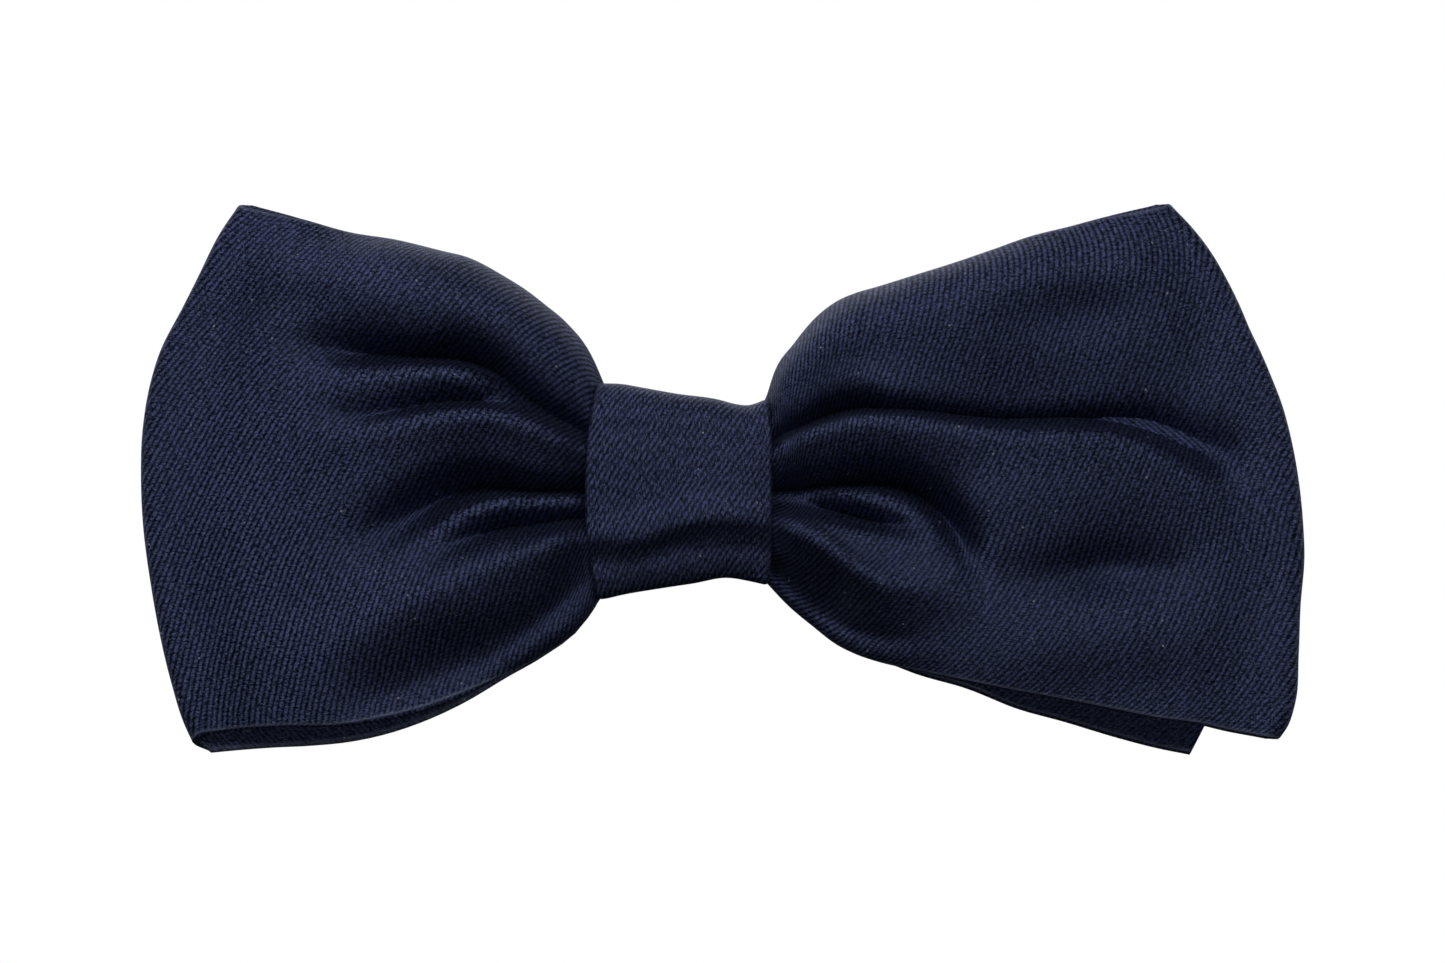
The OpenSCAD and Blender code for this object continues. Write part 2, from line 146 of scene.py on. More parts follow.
def cloth_strip(name, middle, rows_mm, half, centre):
    """A strip of cloth as a closed mesh. middle is (columns, rows, 3) in mm, rows_mm the flat
    place of each row, and centre the column where the flat length starts."""
    points = strip_surface(middle, half)
    columns, ring = points.shape[:2]
    rows = middle.shape[1]
    steps = np.linalg.norm(np.diff(middle, axis=0), axis=2)
    for _ in range(200):  # evened out from row to row, because woven lines don't jump
        steps[:, 1:-1] += .4 * (steps[:, :-2] + steps[:, 2:] - 2 * steps[:, 1:-1])
        steps[:, 0], steps[:, -1] = steps[:, 1], steps[:, -2]
    flat_u = -np.concatenate([np.zeros((1, rows)), np.cumsum(steps, axis=0)])
    flat_u -= flat_u[centre]
    rim_mm = np.pi * half * np.arange(1, RIM) / RIM
    side = list(range(rows))
    of_row = side + [rows - 1] * (RIM - 1) + side[::-1] + [0] * (RIM - 1) + [0]
    flat_v = (list(rows_mm) + list(rows_mm[-1] + rim_mm) + list(rows_mm[::-1])
              + list(rows_mm[0] - rim_mm[::-1]) + [rows_mm[0]])

    bm = bmesh.new()
    bmesh.ops.create_grid(bm, x_segments=columns - 1, y_segments=ring, size=1)
    uv = bm.loops.layers.uv.new("cloth_mm")
    place = {v: (round((v.co.x + 1) / 2 * (columns - 1)), round((v.co.y + 1) / 2 * ring))
             for v in bm.verts}
    for face in bm.faces:
        for loop in face.loops:
            i, k = place[loop.vert]
            loop[uv].uv = (flat_u[i, of_row[k]], flat_v[k])
        face.smooth = True
    for v, (i, k) in place.items():
        v.co = points[i, k % ring] * MM
    bmesh.ops.remove_doubles(bm, verts=bm.verts, dist=1e-7)
    rim_edges = [e for e in bm.edges if e.is_boundary]
    bmesh.ops.holes_fill(bm, edges=rim_edges, sides=0)
    bmesh.ops.recalc_face_normals(bm, faces=bm.faces)
    mesh = bpy.data.meshes.new(name)
    bm.to_mesh(mesh)
    bm.free()
    piece = bpy.data.objects.new(name, mesh)
    bpy.context.scene.collection.objects.link(piece)
    print(f"{name}: {len(mesh.polygons)} faces, length along the middle"
          f" {steps[:, rows // 2].sum():.0f} mm")
    return piece


def settle(points, passes):
    """Move each inner point halfway to the mean of its four neighbours, to take out kinks."""
    for _ in range(passes):
        inner = points[1:-1, 1:-1]
        near = (points[:-2, 1:-1] + points[2:, 1:-1] + points[1:-1, :-2] + points[1:-1, 2:]) / 4
        inner += .5 * (near - inner)


# %% [markdown]
# ## The loop strip's outlines
# The outlines say where the wings' edges are, counted outwards from the middle of the knot. The
# left wing is a little shorter and taller than the right, because the bow is made by hand.

# %% Sizes and outlines
STRIP_W = 57.0       # flat width of the finished strip
HALF = 0.45          # half its thickness
FOLD_R = 1.0         # radius of the turn at a loop's end
TAIL_DEPTH = 2.0     # depths in front of the clip plate's rear face
LAP_IN, LAP_OUT = 3.3, 4.35
END_DEPTH = 4.4
WAIST_DEPTH = 6.75
PLEAT = 1.4          # depth of the waist pleats, either way

TOP_L = through([(0, 7.2), (6.3, 8), (7.4, 9.2), (8.3, 11.2), (9.6, 14.1), (12.2, 17.4), (14.3, 19.1),
                 (16.3, 20.6), (18.4, 21.9), (22.5, 24), (25, 24.6), (30, 25.8), (35, 26.6), (40, 28),
                 (45.2, 29.4)])
BOTTOM_L = through([(0, -7.2), (6.3, -8), (7.4, -9.2), (8.3, -11.1), (10.2, -13.9), (14.3, -17),
                    (18.4, -19.2), (22.5, -21.3), (25, -22.3), (30, -23.6), (35, -24.3), (40, -24.4),
                    (45, -24.7), (49.6, -25.3)])
BACK_L = through([(0, -7.2), (6.3, -8), (7.4, -9.2), (8.3, -11.1), (10.2, -13.9), (14.3, -17.1),
                  (18.4, -19.4), (22.5, -21.8), (26.6, -23.7), (30.7, -25.1), (34.9, -26),
                  (38.9, -26.4), (43, -26.6), (49.6, -27.1)])
END_L = through([(-27.1, 49.4), (-24.7, 50.7), (-19.5, 52.4), (-14.4, 53.6), (-9.3, 54.5), (-4, 55.2),
                 (1, 55.45), (6, 55.3), (11.3, 54.4), (13.9, 53.6), (19, 51), (21.6, 49.7),
                 (26.7, 47.1), (29.4, 45.2)])
TOP_R = through([(0, 7.2), (7, 7.8), (8.6, 8.4), (9.6, 9.7), (10.3, 11.9), (12.4, 15), (14.5, 17.6),
                 (16.6, 19.3), (18.6, 20.2), (20.7, 20.8), (24.8, 22.1), (28.9, 23.4), (33, 24.8),
                 (37.1, 26.2), (41.2, 27.2), (45.3, 28.3), (50.4, 29.5)])
BOTTOM_R = through([(0, -7.2), (7, -7.8), (8.6, -8.7), (9.6, -9.8), (11.4, -11.7), (14.5, -14.3),
                    (16.6, -15.9), (18.6, -16.9), (21, -17.7), (24, -18.4), (30, -19.7), (40, -21.6),
                    (45, -22.6), (50, -23.6), (54.5, -24.2), (57.5, -24.9), (61.8, -25.7)])
END_R = through([(-25.7, 61.6), (-24.7, 62.5), (-22.1, 63.5), (-17, 63.9), (-11.8, 64.1),
                 (-6.7, 64.5), (-4.1, 64.4), (1, 63.9), (6.2, 62.9), (8.7, 62.2), (11.3, 61.2),
                 (13.9, 60.1), (16.4, 58.9), (19, 57.8), (21.6, 56.5), (24.2, 55), (26.7, 53.1),
                 (29.5, 50.4)])
CORNERS_L = (49.4, 45.2)     # where the bottom and top edges end
CORNERS_R = (61.6, 50.4)
END_LOW_L, END_LOW_BACK_L, END_LOW_R = -25.3, -27.1, -25.7      # heights of those corners
END_TOP_L, END_TOP_R = 29.4, 29.5
FULL_L = through([(0, WAIST_DEPTH), (7.4, 7.0), (9.5, 8.2), (12, 9.6), (16, 10.8), (22, 11.4), (28, 11.2),
                  (35, 10.0), (42, 8.2), (49, 6.4), (54, 5.4)])
FULL_R = through([(0, WAIST_DEPTH), (7.4, 7.0), (9.5, 8.2), (12, 9.6), (17, 10.9), (25, 11.5),
                  (33, 11.2), (42, 9.9), (50, 8.2), (58, 6.3), (63, 5.4)])

# %% [markdown]
# ## The loop strip's folds
# The folds are lines that start under the knot band. Each point of a line is (x, z, height, width
# above, width below, lean) in millimetres. A height below zero is a valley, and a lean pushes a
# crest up over the valley above it, as a soft roll does.

# %% Folds of the two wings
FOLDS_L = [
    # deep valley under the top roll
    [(-9, 5.4, -2.2, 1.1, .9, 0), (-12, 7.0, -3.6, 1.4, .9, 0), (-15, 8.6, -5.0, 1.6, .9, 0),
     (-18, 10.6, -5.8, 1.9, .9, 0), (-20, 12.2, -6.2, 2.0, .9, 0), (-23, 13.2, -6.0, 2.0, .9, 0),
     (-26, 13.3, -5.4, 1.8, .9, 0), (-29, 13.4, -4.4, 1.7, 1.0, 0), (-33, 13.8, -2.8, 1.7, 1.4, 0),
     (-38, 14.8, -.6, 1.8, 1.8, 0), (-41, 15.4, 0, 1.8, 1.8, 0)],
    # the roll between it and the crease below
    [(-14, 8.2, .23, .8, .8, .2), (-18, 10, .8, 1, 1.1, .5), (-22, 10.9, 1.03, 1.2, 1.2, .6),
     (-27, 11.2, .92, 1.5, 1.4, .5), (-31, 11.4, .57, 1.8, 1.6, .3), (-38, 11, 0, 2, 2, 0)],
    # narrow crease
    [(-16.5, 8, -.32, .77, .55, 0), (-18.5, 8.7, -1.6, .88, .55, 0), (-22, 8.9, -2.24, .99, .66, 0),
     (-25, 8.8, -2.24, .99, .66, 0), (-28, 8.3, -1.92, 1.1, .66, 0), (-31, 7.6, -1.44, 1.32, .77, 0),
     (-34, 7.4, -.8, 1.65, .99, 0), (-38, 7.6, 0, 1.8, 1.2, 0)],
    # the roll above the middle valley
    [(-9.2, 3.4, .8, 1, 1, .2), (-12, 4.3, 1.15, 1.1, 1.1, .4), (-15, 5.5, 1.38, 1.2, 1.2, .5),
     (-18, 6.6, 1.38, 1.2, 1.2, .5), (-21, 6.9, 1.26, 1.2, 1.4, .5), (-25, 6.5, 1.03, 1.2, 1.5, .5),
     (-30, 5.6, .69, 1.5, 1.8, .3), (-37, 4.5, 0, 2, 2.5, 0)],
    # middle valley
    [(-9, .1, -2.2, .9, .9, 0), (-12, -.1, -3.4, 1.2, .9, 0), (-15, -.2, -4.4, 1.6, .9, 0),
     (-18, .1, -5.2, 2.0, 1.0, 0), (-21, .1, -5.4, 2.4, 1.2, 0), (-24, -.8, -4.8, 2.6, 1.5, 0),
     (-27, -2.4, -3.6, 2.6, 2.0, 0), (-30, -4.0, -2.0, 2.6, 2.2, 0), (-34, -6, 0, 2.4, 2.2, 0)],
    # thin ridge
    [(-9, -1.6, .5, .6, .6, .1), (-12, -1.8, .6, .7, .7, .3), (-15, -1.9, .7, .7, .7, .4),
     (-18, -2, 1.03, .8, .8, .4), (-21, -2.7, .8, .9, .9, .3), (-25, -4.2, .34, 1.2, 1.2, .1),
     (-29, -6, 0, 1.5, 1.5, 0)],
    # small valley below it
    [(-9, -2.9, -2.0, .9, .9, 0), (-12, -3.2, -3.2, 1.0, .9, 0), (-15, -3.7, -4.0, 1.2, .9, 0),
     (-18, -4.1, -3.8, 1.3, .9, 0), (-21, -4.9, -2.6, 1.4, 1.1, 0), (-24, -6, -1.2, 1.5, 1.3, 0),
     (-28, -7.5, 0, 1.5, 1.5, 0)],
    # bright roll that runs down and out
    [(-9, -4.9, .7, .9, 1.0, .1), (-12, -5.6, 1.3, 1.0, 1.6, .3), (-15, -6.8, 1.5, 1.1, 2.6, .3),
     (-18, -7.8, 1.6, 1.4, 3.6, .3), (-21, -8.8, 1.8, 1.8, 4.6, .3), (-25, -11, 2.1, 2.4, 5.2, .2),
     (-30, -14, 1.5, 3.2, 5.6, 0), (-36, -17, .6, 4, 5, 0), (-42, -19, 0, 4, 5, 0)],
    # broad hollow below it
    [(-9.5, -8.6, -.8, 1.8, 1.5, 0), (-13, -12.2, -1.8, 1.8, 1.6, 0), (-17, -15.2, -2.2, 2.6, 2.0, 0),
     (-20, -17.2, -2.8, 3.6, 2.3, 0), (-25, -19.2, -3.0, 4.8, 2.5, 0), (-30, -21, -2.2, 4.4, 2.4, 0),
     (-36, -23, 0, 3.5, 2, 0)],
    # top roll
    [(-9, 9.5, .34, 1.6, 1.4, .2), (-13, 13, .92, 2, 1.8, .3), (-18, 17, 1.26, 2.6, 2, .3),
     (-24, 19.3, 1.26, 3.2, 2.6, .2), (-31, 20.5, .8, 4, 3.5, .1), (-40, 22, 0, 5, 5, 0)],
    # the wide hollow that the middle folds lie in
    [(-9, -.8, -1.0, 2.2, 2.2, 0), (-13, -.7, -1.6, 2.6, 2.6, 0), (-17, -.8, -1.8, 3, 3, 0),
     (-22, -1.4, -1.8, 3.4, 3.2, 0), (-27, -3.2, -1.6, 3.6, 3, 0), (-32, -5.4, -.9, 3.6, 3, 0),
     (-38, -8, 0, 3, 3, 0)],
    # the top valley dies away slowly
    [(-26, 14.4, 0, 2.4, 1.6, 0), (-30, 14.6, -1.3, 2.6, 1.8, 0), (-34, 14.8, -1.2, 2.8, 2.2, 0),
     (-38, 15.2, -.6, 3, 2.6, 0), (-43, 16, 0, 3, 3, 0)],
    # faint hollow towards the top corner
    [(-34, 19.2, 0, 2, 2, 0), (-38, 19.6, -.4, 2.2, 1.76, 0), (-43, 18.6, -.56, 2.2, 1.76, 0),
     (-48, 15.6, -.32, 2.2, 2.2, 0), (-52, 13, 0, 2, 2, 0)],
]
FOLDS_R = [
    # long crease with a lip below it
    [(9, 4.5, -1.9, 1.0, .9, 0), (12, 6.1, -3.5, 1.2, .9, 0), (15, 7.4, -5.0, 1.7, .9, 0),
     (18, 8.2, -4.8, 1.7, .9, 0), (21, 8.2, -3.6, 1.4, .9, 0), (25, 8.0, -2.6, 1.2, .9, 0),
     (30, 7.3, -2.4, 1.2, .9, 0), (35, 6.8, -2.4, 1.2, .9, 0), (40, 6.7, -2.8, 1.5, .9, 0),
     (44, 6.6, -3.4, 1.8, .9, 0), (48, 5.8, -3.6, 2.4, 1.0, 0), (52, 4.2, -3.2, 2.8, 1.3, 0),
     (56, 2.9, -1.8, 3.0, 2.0, 0), (60, 2.2, 0, 2.8, 2.2, 0)],
    [(9, 2.9, .69, 1, 1, .3), (12, 4.2, 1.03, .9, 1.3, .5), (15, 5.2, 1.26, .9, 1.7, .6),
     (18, 5.9, 1.38, 1, 2, .7), (22, 6.1, 1.38, 1, 2.3, .7), (26, 5.8, 1.26, 1, 2.5, .6),
     (31, 5.1, 1.15, 1, 2.6, .6), (36, 4.9, 1.03, 1, 2.6, .5), (41, 4.9, 1.03, 1.1, 2.6, .5),
     (45, 4.7, 1.0, 1.2, 2.6, .4), (49, 3.4, .7, 1.4, 2.4, .3), (54, 1.6, .3, 1.8, 2.2, .1),
     (59, 1.0, 0, 2, 2, 0)],
    # hooked valley
    [(9, .2, -2.2, .9, .9, 0), (12, .2, -3.6, 1.2, .9, 0), (15, .4, -4.6, 1.4, .9, 0),
     (18, .6, -5.2, 1.7, .9, 0), (21, .6, -5.4, 1.8, .9, 0), (23.5, 0, -5.0, 1.8, .9, 0),
     (25.5, -1.3, -4.4, 1.8, .9, 0), (27.4, -3.2, -3.4, 1.8, .9, 0), (29, -5.5, -2.2, 1.9, 1.1, 0),
     (30.2, -8, -1.1, 2, 1.4, 0), (31.2, -11, 0, 2, 1.6, 0)],
    # small ridge and small valley inside the hook
    [(11, -.6, 0, .5, .5, .1), (14, -1.0, .2, .6, .6, .3), (17, -1.2, .6, .7, .7, .4),
     (20.5, -1.4, .92, .8, .8, .3), (24, -2.4, .46, 1.1, 1, .1), (27, -4.5, 0, 1.2, 1.2, 0)],
    [(10, -1.4, -1.4, .9, .9, 0), (13, -1.8, -3.0, 1.1, .9, 0), (17, -2.7, -3.8, 1.1, .9, 0),
     (20, -3.4, -3.4, 1.1, .9, 0), (22.5, -3.9, -2.0, 1.2, 1.0, 0), (25.5, -4.9, 0, 1.2, 1.2, 0)],
    # bright roll that runs down and out
    [(9, -3.2, .92, .9, .9, .1), (12, -4.4, 1.38, 1, 1.1, .3), (15, -6, 1.72, 1.1, 1.3, .3),
     (18, -8.4, 1.84, 1.3, 1.5, .3), (21, -9.8, 1.61, 1.6, 1.6, .2), (25, -10.3, 1.03, 2.2, 2, .1),
     (31, -11, 0, 3, 3, 0)],
    # hollow below it
    [(9, -7.6, -1.8, 1.8, 1.6, 0), (12, -10.4, -3.2, 2.6, 1.8, 0), (15, -12.8, -4.0, 3.2, 2.0, 0),
     (18, -14.4, -3.2, 2.2, 2.0, 0), (21, -15.2, -2.0, 1.8, 2.0, 0), (24, -15.2, -.7, 1.8, 2.2, 0),
     (27, -15, 0, 2.0, 2.2, 0)],
    # the wide hollow that the middle folds lie in
    [(9, -.5, -1.2, 2, 2, 0), (13, -.4, -2.2, 2.6, 2.4, 0), (17, -.4, -2.6, 3, 2.6, 0),
     (21, -.6, -2.8, 3.2, 2.6, 0), (25, -1.8, -2.4, 3.2, 2.6, 0), (28, -4.2, -1.4, 2.8, 2.4, 0),
     (30, -7.5, 0, 2.6, 2.4, 0)],
    # the upper half leans down into the long crease
    [(22, 7.8, 0, 8, .8, 0), (26, 7.6, -1.6, 9, .8, 0), (32, 7.2, -3.4, 10, .8, 0),
     (40, 7.4, -4.2, 11, .9, 0), (48, 6.6, -3.0, 9, 1.2, 0), (55, 4.6, -1.3, 7, 2, 0), (61, 6, 0, 5, 3, 0)],
    # soft dimples further out
    [(29, -10, 0, 2, 2.4, 0), (34, -9.4, -.7, 2.8, 2.6, 0), (39, -8.8, -1.8, 3.0, 2.6, 0),
     (44, -8.2, -3.2, 3.2, 2.9, 0), (49, -8.6, -1.8, 3.0, 2.8, 0), (55, -9, 0, 3, 3, 0)],
    [(30, 18, 0, 3, 3, 0), (38, 18, -.9, 4, 3, 0), (44, 18.6, -.9, 4, 3, 0), (51, 20, 0, 3, 3, 0)],
    # top roll
    [(9, 8.6, .11, 1.2, 1.4, .1), (13, 13, .92, 2, 1.8, .3), (18, 16.4, 1.26, 2.4, 2.2, .3),
     (24, 17.6, .92, 3, 3, .2), (31, 17, .34, 4, 3.6, 0), (38, 16, 0, 4, 4, 0)],
    # soft swell across the lower half
    [(28, -2, 0, 3, 3, 0), (36, 0, .57, 3.2, 3.2, 0), (46, .4, .57, 3, 3, 0), (56, -2, 0, 3, 3, 0)],
    [(30, -18, .23, 3, 3, 0), (40, -16, .8, 4, 3, 0), (50, -15, .8, 5, 4, 0), (60, -13, .11, 5, 5, 0)],
]

# %% [markdown]
# ## The loop strip's middle surface
# `u` runs round the loop and `v` across it. NumPy works on all the points at once, and `np.where`
# picks the formula for the stretch that each point lies in. The front panel is full in its middle
# and curls back to meet the rear panel at its top edge.

# %% The middle surface of the loop strip
LAP = 0.07           # how far each end laps the other, as a share of a wing
CURL_FROM = 0.76     # share of the half-width where the top edge starts to curl back
CURL_LOW = 0.9       # and the lower edge, which is pressed flatter


def curl(v):
    """Place across the panel and share of its fullness, for v from -1 to 1."""
    start = np.where(v < 0, CURL_LOW, CURL_FROM)
    steep = (np.pi / 2) / (1 - start)
    flat = steep / (steep + 1 / start)
    a = np.clip((np.abs(v) - start) * steep, 0, np.pi / 2)
    place = np.where(np.abs(v) < start, np.abs(v) / start * flat, flat + (1 - flat) * np.sin(a))
    crown = 1 - .06 * np.minimum(1, np.abs(v) / start) ** 2
    return np.sign(v) * place, crown * np.cos(a) ** .9, np.sqrt(1 - .999 * place**2)


def loop_middle(u, v):
    """Middle surface in mm. u runs round the ring in six stretches from the rear lap: rear right,
    right turn, front right, front left, left turn, rear left."""
    inner = np.where(u < 0, -u, np.where(u > 6, 12 - u, u))
    g = np.minimum(5, np.floor(inner)).astype(int)
    w = inner - g
    left, turn, front = g > 2, (g == 1) | (g == 4), (g == 2) | (g == 3)
    s = np.where(turn, 1, np.where((g == 0) | (g == 3), w, 1 - w))
    a = np.where(turn, np.where(left, w, 1 - w), np.where(front, 0, 1))    # 0 in front, 1 behind
    place, full, rounder = curl(v)
    near_knot = 1 - ease(.38, .75, s)
    full = mix(full, rounder, near_knot * np.where(v < 0, .85, .35))
    # further out, the front panel's lower edge hangs free in front of the rear panel
    free = np.where(v < 0, ease(.25, .5, s), 0)
    full = mix(full, 1 - .34 * np.abs(v) ** 2, free)
    place = mix(place, v, np.maximum(np.maximum(ease(.5, .95, s), ease(0, .6, a)), free))
    top = np.where(left, TOP_L(s * CORNERS_L[1]), TOP_R(s * CORNERS_R[1])) - HALF
    low = np.where(left, mix(BOTTOM_L(s * CORNERS_L[0]), BACK_L(s * CORNERS_L[0]), a),
                   BOTTOM_R(s * CORNERS_R[0])) + HALF
    z = mix(low, top, (place + 1) / 2)
    end_low = np.where(left, mix(END_LOW_L, END_LOW_BACK_L, a), END_LOW_R) + HALF
    end_top = np.where(left, END_TOP_L, END_TOP_R) - HALF
    end_z = mix(end_low, end_top, (v + 1) / 2)
    reach = np.where(left, END_L(end_z), END_R(end_z)) - FOLD_R - HALF
    x = s * reach * np.where(left, -1, 1)

    # depth of the rear panel, with its lap, and of the front panel
    lap = np.where(left, LAP_OUT, LAP_IN)
    rear = mix(lap, mix((LAP_IN + LAP_OUT) / 2, END_DEPTH - FOLD_R, ease(.3, 1, s)), ease(.12, .3, s))
    edge = rear + 1.15 + ease(.2, .6, s) * .35 + (2 * FOLD_R - 1.5) * ease(.7, 1, s)
    most = np.where(left, FULL_L(np.abs(x)), FULL_R(np.abs(x)))
    waist = 1 - ease(7.0, 10.5, np.abs(x))
    pleats = -PLEAT * np.cos(2 * np.pi * (v + 1)) * waist
    full = mix(full, 1, waist)
    depth = edge + (most - edge) * full
    depth = mix(depth, END_DEPTH + FOLD_R, ease(.84, 1, s))
    folds, lean = np.zeros_like(x), np.zeros_like(x)
    for table, here in ((FOLDS_L, front & left), (FOLDS_R, front & ~left)):
        d, up = fold_field(x[here], z[here], table)
        keep = ease(6.5, 9.5, np.abs(x[here])) * (1 - ease(.9, 1, s[here]))
        folds[here], lean[here] = d * keep, up * keep
    depth = depth + folds * (.35 + .65 * full) + pleats
    turned = np.pi * a
    depth = np.where(turn, END_DEPTH + FOLD_R * np.cos(turned), np.where(front, depth, rear))
    x = np.where(turn, x + np.where(left, -1, 1) * FOLD_R * np.sin(turned), x)
    # past the lap, each end lies over the other
    over = (u < 0) | (u > 6)
    x = np.where(over, -x, x)
    depth = np.where(u < 0, LAP_IN, np.where(u > 6, LAP_OUT, depth))
    return np.stack([x, -depth, z + lean], -1)


def stations(*stretches):
    """Places along a strip from (start, end, count) stretches."""
    parts = [np.linspace(a, b, n, endpoint=False) for a, b, n in stretches]
    return np.concatenate(parts + [[stretches[-1][1]]])


# %% [markdown]
# ## Building the loop strip
# The front panels get the most columns, because the folds are there. `settle` eases the points a
# little, as cloth does.

# %% The loop strip
ROWS = 125
FRONT_MIDDLE = 3     # where the two front panels meet, and the flat length starts
loop_u = stations((-LAP, 0, 6), (0, 1, 40), (1, 2, 10), (2, 3, 140), (3, 4, 122), (4, 5, 10),
                  (5, 6, 36), (6, 6 + LAP, 6))
loop_v = np.linspace(-1, 1, ROWS)
U, V = np.meshgrid(loop_u, loop_v, indexing="ij")
loop_points = loop_middle(U, V)
settle(loop_points, 4)
bow_loop = cloth_strip("bow_loop", loop_points, loop_v * STRIP_W / 2, HALF,
                       int(np.argmin(abs(loop_u - FRONT_MIDDLE))))

# %% [markdown]
# ## The tail strip
# It lies flat behind the loop, gathered at the same waist, and its lower right corner shows below
# the wing.

# %% The tail strip
TAIL_TOP_L = through([(0, 6.3), (8, 7), (13, 12.5), (20, 17), (30, 19.6), (41, 20.8)])
TAIL_LOW_L = through([(0, -6.3), (8, -7), (13, -12.5), (20, -17), (30, -20), (42, -21.8)])
TAIL_TOP_R = through([(0, 6.3), (8, 7), (13, 12), (20, 16.4), (30, 19.4), (40, 21), (49, 22.2)])
TAIL_LOW_R = through([(0, -6.3), (8, -7), (11, -9.4), (16, -14.2), (20, -17), (24, -18.8), (30, -20.6),
                      (35, -22.6), (40, -24), (45.3, -25.6), (49.5, -26.7), (53, -27.4)])
TAIL_END_L = through([(-21.8, 42), (-12, 47.4), (2, 49.2), (12, 47.6), (20.8, 41)])
TAIL_END_R = through([(-27.4, 52.9), (-24.4, 54.4), (-16, 57), (-4, 58.3), (8, 57.6), (16, 54.6),
                      (22.2, 49)])
TAIL_CORNERS_L, TAIL_CORNERS_R = (42, 41), (52.9, 49)            # where bottom and top edges end
TAIL_HEIGHTS_L, TAIL_HEIGHTS_R = (-21.8, 20.8), (-27.4, 22.2)    # and how high they are there
TAIL_RIPPLE, TAIL_BACK = .16, .12     # soft waves by the waist, and how far the ends lie back


def tail_middle(s, v):
    """Middle surface in mm. s runs from -1 at the left end to 1 at the right, v across."""
    left = s < 0
    k = np.abs(s)
    top = np.where(left, TAIL_TOP_L(k * TAIL_CORNERS_L[1]), TAIL_TOP_R(k * TAIL_CORNERS_R[1])) - HALF
    low = np.where(left, TAIL_LOW_L(k * TAIL_CORNERS_L[0]), TAIL_LOW_R(k * TAIL_CORNERS_R[0])) + HALF
    end_z = mix(np.where(left, TAIL_HEIGHTS_L[0], TAIL_HEIGHTS_R[0]),
                np.where(left, TAIL_HEIGHTS_L[1], TAIL_HEIGHTS_R[1]), (v + 1) / 2)
    x = s * np.where(left, TAIL_END_L(end_z), TAIL_END_R(end_z))
    z = mix(low, top, (v + 1) / 2)
    away = ease(9, 20, np.abs(x))
    ripple = TAIL_RIPPLE * np.sin(z * .55 + 1) * (1 - ease(14, 34, np.abs(x))) * ease(6, 10, np.abs(x))
    return np.stack([x, -(TAIL_DEPTH + ripple - TAIL_BACK * away), z], -1)


tail_s = stations((1, -1, 170))
tail_v = np.linspace(-1, 1, 73)
S, V = np.meshgrid(tail_s, tail_v, indexing="ij")
bow_tail = cloth_strip("bow_tail", tail_middle(S, V), tail_v * STRIP_W / 2, HALF,
                       int(np.argmin(abs(tail_s))))

# %% [markdown]
# ## The knot band
# One round of a narrower strip. It is a touch lower on the right, its edges follow the cloth that
# swells out beside it, and a soft crease runs across its lower half.

# %% The knot band
BAND_TOP = through([(-9, 11), (-7, 10.95), (-4.6, 10.6), (0, 9.9), (4, 9.4), (6.5, 8.8), (7.7, 8.75),
                    (9.4, 9.3)])
BAND_LOW = through([(-9, -11.2), (-7, -10.8), (-2.2, -10.1), (1.5, -9.6), (5.2, -9), (7.7, -9.35),
                    (9.4, -9.7)])
BAND_LEFT = through([(-11, 8.4), (-8, 8.95), (-4, 9.5), (0, 9.6), (6, 9.3), (11, 8.4)])
BAND_RIGHT = through([(-10, 9.2), (-8, 9.45), (-4, 9.6), (0, 9.6), (5, 9.6), (9.5, 9.3)])
BAND_FOLDS = [
    [(-9.6, -7.6, -.8, 1.6, 3.5, 0), (-4, -7.8, -.95, 1.7, 3.5, 0), (0, -6.8, -1.0, 2.0, 3.8, 0),
     (4, -6.4, -1.0, 2.0, 3.8, 0), (9.6, -6.8, -.9, 1.8, 3.8, 0)],
    [(-9.6, -5.0, .4, 1.8, .8, 0), (-4, -4.8, .7, 2.2, .8, 0), (0, -3.4, .8, 2.2, .9, 0),
     (4, -2.8, .8, 2.4, .9, 0), (9.6, -3.2, .4, 2.2, .9, 0)],
    [(-9.6, 6.6, -.1, 1.5, 1.5, 0), (-3, 6.4, -.3, 1.8, 1.8, 0), (4, 5.6, -.3, 1.8, 1.8, 0),
     (9.6, 5, -.1, 1.5, 1.5, 0)],
]
BAND_FRONT, BAND_BACK = 9.75, -.55   # depths of the band's middle
BAND_LAP = 1.0                       # the second layer at the back lies this much further out
BAND_R, BAND_R_LOW = 3.2, 2.6        # how far the front rolls back above and below
BAND_R_BACK = 1.3                    # radius of the two turns at the back
BAND_TUCK, BAND_END = -2.6, 2.6      # heights of the lap's inner and outer ends
BAND_HALF_W, BAND_FLAT = 9.4, 9.5    # half the band's width on the knot, and flat
BAND_CROWN, BAND_HUG = .6, .45       # swell of the front, and how far its sides lie back
# where each stretch starts, round the band: back, turn, top, roll, front, roll, bottom, turn, back
BAND_STOPS = np.array([0, .14, .19, .27, .35, .63, .71, .8, .85, 1.0])


